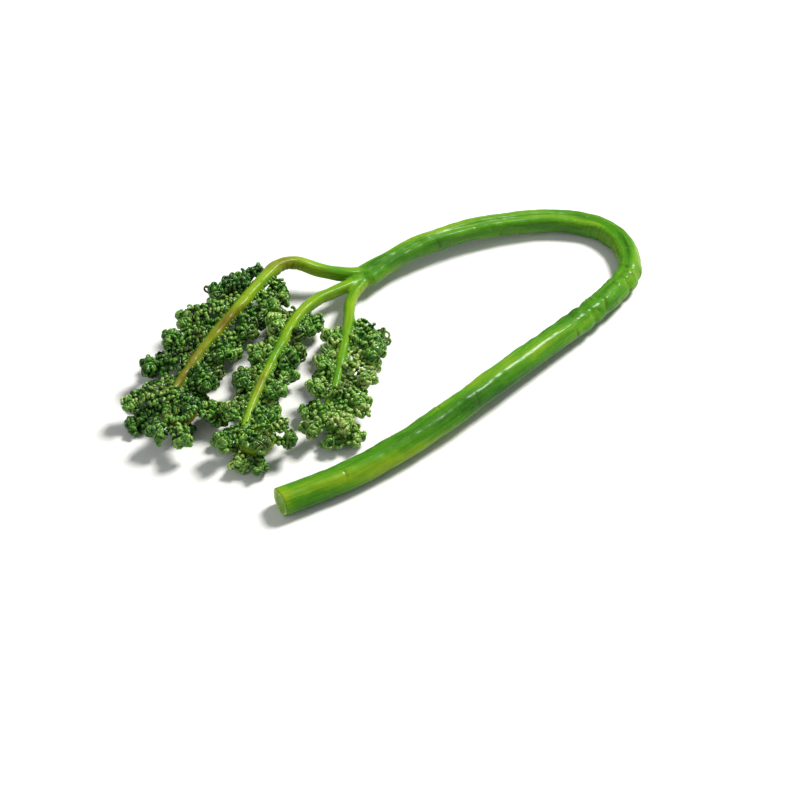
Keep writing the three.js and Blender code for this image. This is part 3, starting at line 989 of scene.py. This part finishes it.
def add_piece(name, mesh, materials, node):
    """A piece of the dressed part, in the row frame, that rides on it and stands for its node."""
    points = points_of(mesh)
    points[:, 2] = np.maximum(points[:, 2], LOWEST)
    mesh.vertices.foreach_set("co", (points * MM + PLAN_ORIGIN).ravel())
    for material in materials:
        mesh.materials.append(material)
    mesh.name = name
    mesh.update()
    mesh.shade_smooth()
    piece = new_object(name, mesh)
    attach(piece, "root")
    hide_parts(node)


def new_object(name, data):
    thing = bpy.data.objects.new(name, data)
    bpy.context.scene.collection.objects.link(thing)
    return thing


def set_all(thing, **settings):
    for name, value in settings.items():
        setattr(thing, name, value)
    return thing


def nearest_on(stem, points):
    """Each point's nearest place on a stem, its distance outside it, and the ring and side there."""
    rings, sides = stem["points"].shape[:2]
    faces, _, _ = tube_faces(rings, sides)
    tree = BVHTree.FromPolygons(stem["points"].reshape(-1, 3).tolist(), faces)
    places = np.empty_like(points)
    distances = np.empty(len(points))
    found = np.empty(len(points), int)
    for i, point in enumerate(points):
        places[i], _, found[i], distances[i] = tree.find_nearest(Vector(point))
    ring = np.minimum(found // sides, rings - 1)
    centres = stem["centres"][ring]
    inside = np.linalg.norm(points - centres, axis=1) < np.linalg.norm(places - centres, axis=1)
    distances[inside] *= -1
    return places, distances, ring, found % sides


def melted_mesh(stems):
    """One skin round all the stems, melted smooth."""
    rough = new_object("rough_fork", tube_mesh([tube_of(stem) for stem in stems]))
    set_all(rough.modifiers.new("one_skin", "REMESH"), mode="VOXEL", voxel_size=FORK_VOXEL)
    set_all(rough.modifiers.new("melt", "SMOOTH"), iterations=FORK_MELTING)
    mesh = bpy.data.meshes.new_from_object(rough.evaluated_get(bpy.context.evaluated_depsgraph_get()))
    bpy.data.objects.remove(rough)
    return mesh


def fork_mesh(stems):
    """The fork's skin: the stems' own surfaces, melted together where they meet."""
    mesh = melted_mesh(stems)
    points = points_of(mesh)
    found = [nearest_on(stem, points) for stem in stems]
    distances = np.array([distance for _, distance, _, _ in found])
    nearest = distances.argmin(axis=0)
    apart = np.diff(np.partition(distances, 1, axis=0)[:2], axis=0)[0]
    own_place = np.array([places for places, _, _, _ in found])[nearest, np.arange(len(points))]
    points = mix(points, own_place, ramp(apart, *MELTING)[:, None])

    weights = np.exp(-np.abs(distances) / SKIN_MIXING)
    weights = weights / weights.sum(axis=0)
    tone = hurt = grain = 0
    for i, (stem, (_, _, ring, side)) in enumerate(zip(stems, found, strict=True)):
        tone = tone + weights[i] * stem["tone"][ring, side]
        hurt = hurt + weights[i] * stem["hurt"][ring, side]
        grain = grain + weights[i][:, None] * grain_at(stem, ring, points)
        end = 0 if i == 0 else -1
        from_end = np.abs((points - stem["centres"][end]) @ stem["ahead"][end])
        dip = DIP * (1 - ramp(from_end, 0, OVERLAP)) * (nearest == i)
        points = points + unit(stem["centres"][ring] - points) * dip[:, None]
    mesh.vertices.foreach_set("co", points.ravel())
    for name, values in (("tone", tone), ("hurt", hurt), ("grain", grain)):
        set_field(mesh, name, values)
    return mesh


def rooted(stem):
    """The stem with its first stretch narrowed, to grow out from deep inside another."""
    since = stem["along"] - stem["along"][0]
    share = mix(ROOT_NARROWING, 1, ramp(since, 0, ROOT_REACH))[:, None, None]
    return {**stem, "points": mix(stem["centres"][:, None], stem["points"], share)}


def dipped(stem, end):
    """The stem with its first ring, 0, or its last, -1, sunk to lie under the skin that overlaps it."""
    points = stem["points"].copy()
    points[end] += unit(stem["centres"][end] - points[end]) * DIP
    return {**stem, "points": points}


def add_limb(plan, start, skin, leaf):
    """Adds a limb's rib and leaflets, and gives the stump of its rib, which is the fork's."""
    name, tone, seed = plan["name"], plan["leaf_tone"], plan["seed"]
    leaflets = limb_leaflets(plan)
    rib = limb_tube(plan, leaflets, start)
    stump_end = plan["stump_steps"] * RIB_FINENESS + 1
    overlap_rings = round(OVERLAP * RIB_FINENESS / LIMB_STEP)
    free_rib = dipped(part_of(rib, slice(stump_end - overlap_rings, None)), 0)
    add_piece(f"{name}_rib", tube_mesh([tube_of(free_rib)]), [skin], name)

    off = RIB_LOBE_ROOT * plan["radii"][1]
    leafy_rib = {"line": rib_line(plan, rib), "bare": 0, "tone": tone, "off": off}
    more = {"left": [lobe_tubes([leafy_rib], seed)], "right": []}
    for side in more:
        some = [leaflet for leaflet in leaflets if leaflet["side"] == side]
        lobes = lobe_tubes(some, seed + len(side))
        tubes = [midrib_tubes(some, tone), blade_tubes(some, tone), lobes, *more[side]]
        add_piece(f"{name}_leaflets_{side}", tube_mesh(tubes), [leaf], name)
    return rooted(part_of(rib, slice(0, stump_end)))


def add_stems(skin, pith, leaf):
    """Adds the stalk, its limbs and the fork that joins them."""
    stalk = stalk_tube()
    fork_start = len(stalk["points"]) - NOSE_RINGS - round(FORK_REACH / STALK_FINE_STEP)
    overlap_rings = round(OVERLAP / STALK_FINE_STEP)
    leg = dipped(part_of(stalk, slice(0, fork_start + overlap_rings)), -1)
    on_face = (np.arange(len(leg["points"])) < FACE_RINGS).astype(int)
    add_piece("stalk_leg", tube_mesh([tube_of(leg, on_face)]), [skin, pith], "stalk")
    stumps = [add_limb(plan, stalk["along"][-1], skin, leaf) for plan in LIMBS]
    fork = fork_mesh([part_of(stalk, slice(fork_start, None)), *stumps])
    add_piece("fork", fork, [skin], "stalk")


def add_node(tree, kind, inputs, **settings):
    """A shader node with these settings and inputs."""
    node = set_all(tree.nodes.new(kind), **settings)
    set_inputs(tree, node, inputs)
    return node


def set_inputs(tree, node, inputs):
    """Links a node's inputs to sockets, or sets them to values."""
    for name, value in inputs.items():
        if isinstance(value, bpy.types.NodeSocket):
            tree.links.new(value, node.inputs[name])
        else:
            node.inputs[name].default_value = value


def field(tree, name, output="Fac"):
    """A value that a mesh's points carry."""
    return add_node(tree, "ShaderNodeAttribute", {}, attribute_name=name).outputs[output]


def grain_place(tree):
    return field(tree, "grain", "Vector")


def object_place(tree):
    return add_node(tree, "ShaderNodeTexCoord", {}).outputs["Object"]


def maths(tree, operation, *values, clamp=False):
    inputs = dict(enumerate(values))
    return add_node(tree, "ShaderNodeMath", inputs, operation=operation, use_clamp=clamp).outputs["Value"]


def added(tree, *values):
    """The sum of these values, kept between 0 and 1."""
    total = values[0]
    for value in values[1:-1]:
        total = maths(tree, "ADD", total, value)
    return maths(tree, "ADD", total, values[-1], clamp=True)


def noise(tree, place, scale, detail, roughness=0.55):
    inputs = {"Vector": place, "Scale": scale, "Detail": detail, "Roughness": roughness}
    return add_node(tree, "ShaderNodeTexNoise", inputs).outputs["Fac"]


def mottle(tree, place, scale, detail, strength):
    """A noise as much over 0 as under it."""
    return maths(tree, "MULTIPLY", maths(tree, "SUBTRACT", noise(tree, place, scale, detail), 0.5), strength)


def specks(tree, place, scale, detail, strength, level):
    """Spots where a noise is over its level, from 0 to 1."""
    over = maths(tree, "SUBTRACT", noise(tree, place, scale, detail), level)
    return maths(tree, "MULTIPLY", over, strength, clamp=True)


def toned(tree, tone, stops, share, other):
    """The colour at a tone, from 0 to 1, with this share of another colour over it."""
    ramp_node = add_node(tree, "ShaderNodeValToRGB", {"Fac": tone})
    elements = ramp_node.color_ramp.elements
    while len(elements) < len(stops):
        elements.new(0.5)
    for element, (position, colour) in zip(elements, stops, strict=True):
        set_all(element, position=position, color=(*colour, 1))
    # The mix node has sockets for each kind of value, and of these 6, 7 and 2 are for colours
    inputs = {0: share, 6: ramp_node.outputs["Color"], 7: (*other, 1)}
    return add_node(tree, "ShaderNodeMix", inputs, data_type="RGBA").outputs[2]


def plant_material(name, colour, height, place):
    """A material from functions that give its colour, fine relief and the place for its roughness."""
    material = bpy.data.materials.new(name)
    material.use_nodes = True
    tree = material.node_tree
    relief, (scale, detail, strength, least), coat = FINISHES[name]
    rough = noise(tree, place(tree), scale, detail)
    bumps = {"Height": height(tree), "Distance": relief, "Strength": 1.0}
    inputs = {
        "Base Color": colour(tree),
        "Roughness": maths(tree, "MULTIPLY_ADD", rough, strength, least),
        "Normal": add_node(tree, "ShaderNodeBump", bumps).outputs["Normal"],
    }
    set_inputs(tree, tree.nodes["Principled BSDF"], {**inputs, **coat, **FLESH})
    return material


def skin_colour(tree):
    grain = grain_place(tree)
    squeezed = add_node(tree, "ShaderNodeVectorMath", {0: grain, 1: PATCH_SQUEEZE}, operation="MULTIPLY")
    place = squeezed.outputs["Vector"]
    streaks, flecks = mottle(tree, grain, *SKIN_STREAKS), specks(tree, place, *SKIN_FLECKS)
    tone = added(tree, field(tree, "tone"), streaks, flecks, mottle(tree, place, *SKIN_PATCHES))
    hurt = maths(tree, "MULTIPLY", field(tree, "hurt"), HURT_STRENGTH)
    return toned(tree, tone, SKIN_COLOURS, hurt, BROWN)


def skin_height(tree):
    return noise(tree, grain_place(tree), *SKIN_RELIEF)


def pith_colour(tree):
    tone = added(tree, field(tree, "tone"), mottle(tree, object_place(tree), *PITH_MOTTLE))
    strands = maths(tree, "MULTIPLY", field(tree, "hurt"), HURT_STRENGTH)
    return toned(tree, tone, PITH_COLOURS, strands, STRAND_COLOUR)


def pith_height(tree):
    return noise(tree, object_place(tree), *PITH_RELIEF)


def crumbs(tree, place):
    """The crumbled surface of a leaflet: 0 in the middle of each crumb, and up to 1 between them."""
    inputs = {"Vector": place, "Scale": CRUMB_SCALE}
    return add_node(tree, "ShaderNodeTexVoronoi", inputs, feature="F1").outputs["Distance"]


def leaf_height(tree):
    place = object_place(tree)
    fine = maths(tree, "MULTIPLY", noise(tree, place, *LEAF_RELIEF), LEAF_RELIEF_STRENGTH)
    return maths(tree, "SUBTRACT", fine, crumbs(tree, place))


def leaf_colour(tree):
    place = object_place(tree)
    # Painted highlight on the crests of beads and ribs, painted shade in the notches between beads
    crest = maths(tree, "MULTIPLY", field(tree, "crest"), PAINTED_CREST_HIGHLIGHT)
    # Painted light growing towards the lobes' tips, which leaves their roots in painted shade
    tip = maths(tree, "MULTIPLY", field(tree, "tip"), TIP_PAINTED_LIGHT)
    # Painted shade in the gaps between crumbs
    between = maths(tree, "MULTIPLY", crumbs(tree, place), -CRUMB_PAINTED_SHADE)
    tone = added(tree, field(tree, "tone"), mottle(tree, place, *LEAF_MOTTLE), crest, tip, between)
    old = maths(tree, "MULTIPLY", specks(tree, place, *LEAF_OLD_SPOTS), OLD_STRENGTH)
    return toned(tree, tone, LEAF_COLOURS, old, OLD_LEAF_COLOUR)


def add_floor():
    bpy.ops.mesh.primitive_plane_add(size=FLOOR_SIZE)
    floor = bpy.context.object
    floor.name = "floor"
    paint = bpy.data.materials.new("floor_paint")
    paint.use_nodes = True
    set_inputs(paint.node_tree, paint.node_tree.nodes["Principled BSDF"], FLOOR_PAINT)
    floor.data.materials.append(paint)


def put(thing, place, way):
    """Puts a lamp or camera in this place, to look this way."""
    thing.location = place
    thing.rotation_euler = way.to_track_quat("-Z", "Y").to_euler()


def add_lamp(name, place, **settings):
    light = set_all(bpy.data.lights.new(name, "AREA"), shape="DISK", **settings)
    put(new_object(name, light), place, -Vector(place))


def add_room():
    """Even white light from all round."""
    world = bpy.data.worlds.new("room")
    world.use_nodes = True
    set_inputs(world.node_tree, world.node_tree.nodes["Background"], ROOM_LIGHT)
    bpy.context.scene.world = world
    bpy.context.scene.view_settings.view_transform = "Standard"


def add_camera():
    camera = new_object("camera", bpy.data.cameras.new("camera"))
    bpy.context.scene.camera = camera
    camera.data.lens = CAMERA_LENS
    elevation = math.radians(CAMERA_ELEVATION)
    back = Vector((0, -math.cos(elevation), math.sin(elevation)))
    put(camera, Vector(PLAN_ORIGIN) + back * CAMERA_DISTANCE, -back)


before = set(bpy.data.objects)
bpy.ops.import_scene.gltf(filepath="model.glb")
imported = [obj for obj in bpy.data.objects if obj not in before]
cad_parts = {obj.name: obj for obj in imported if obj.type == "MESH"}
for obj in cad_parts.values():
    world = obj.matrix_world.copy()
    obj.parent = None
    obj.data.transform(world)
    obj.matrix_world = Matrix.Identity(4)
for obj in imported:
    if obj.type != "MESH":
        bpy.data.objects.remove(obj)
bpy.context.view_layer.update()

PLAN_ORIGIN = plan_origin()
add_stems(
    skin=plant_material("wet_skin", skin_colour, skin_height, grain_place),
    pith=plant_material("pith", pith_colour, pith_height, object_place),
    leaf=plant_material("leaf", leaf_colour, leaf_height, object_place),
)

add_floor()
for name, lamp in LAMPS.items():
    add_lamp(name, **lamp)
add_room()
add_camera()
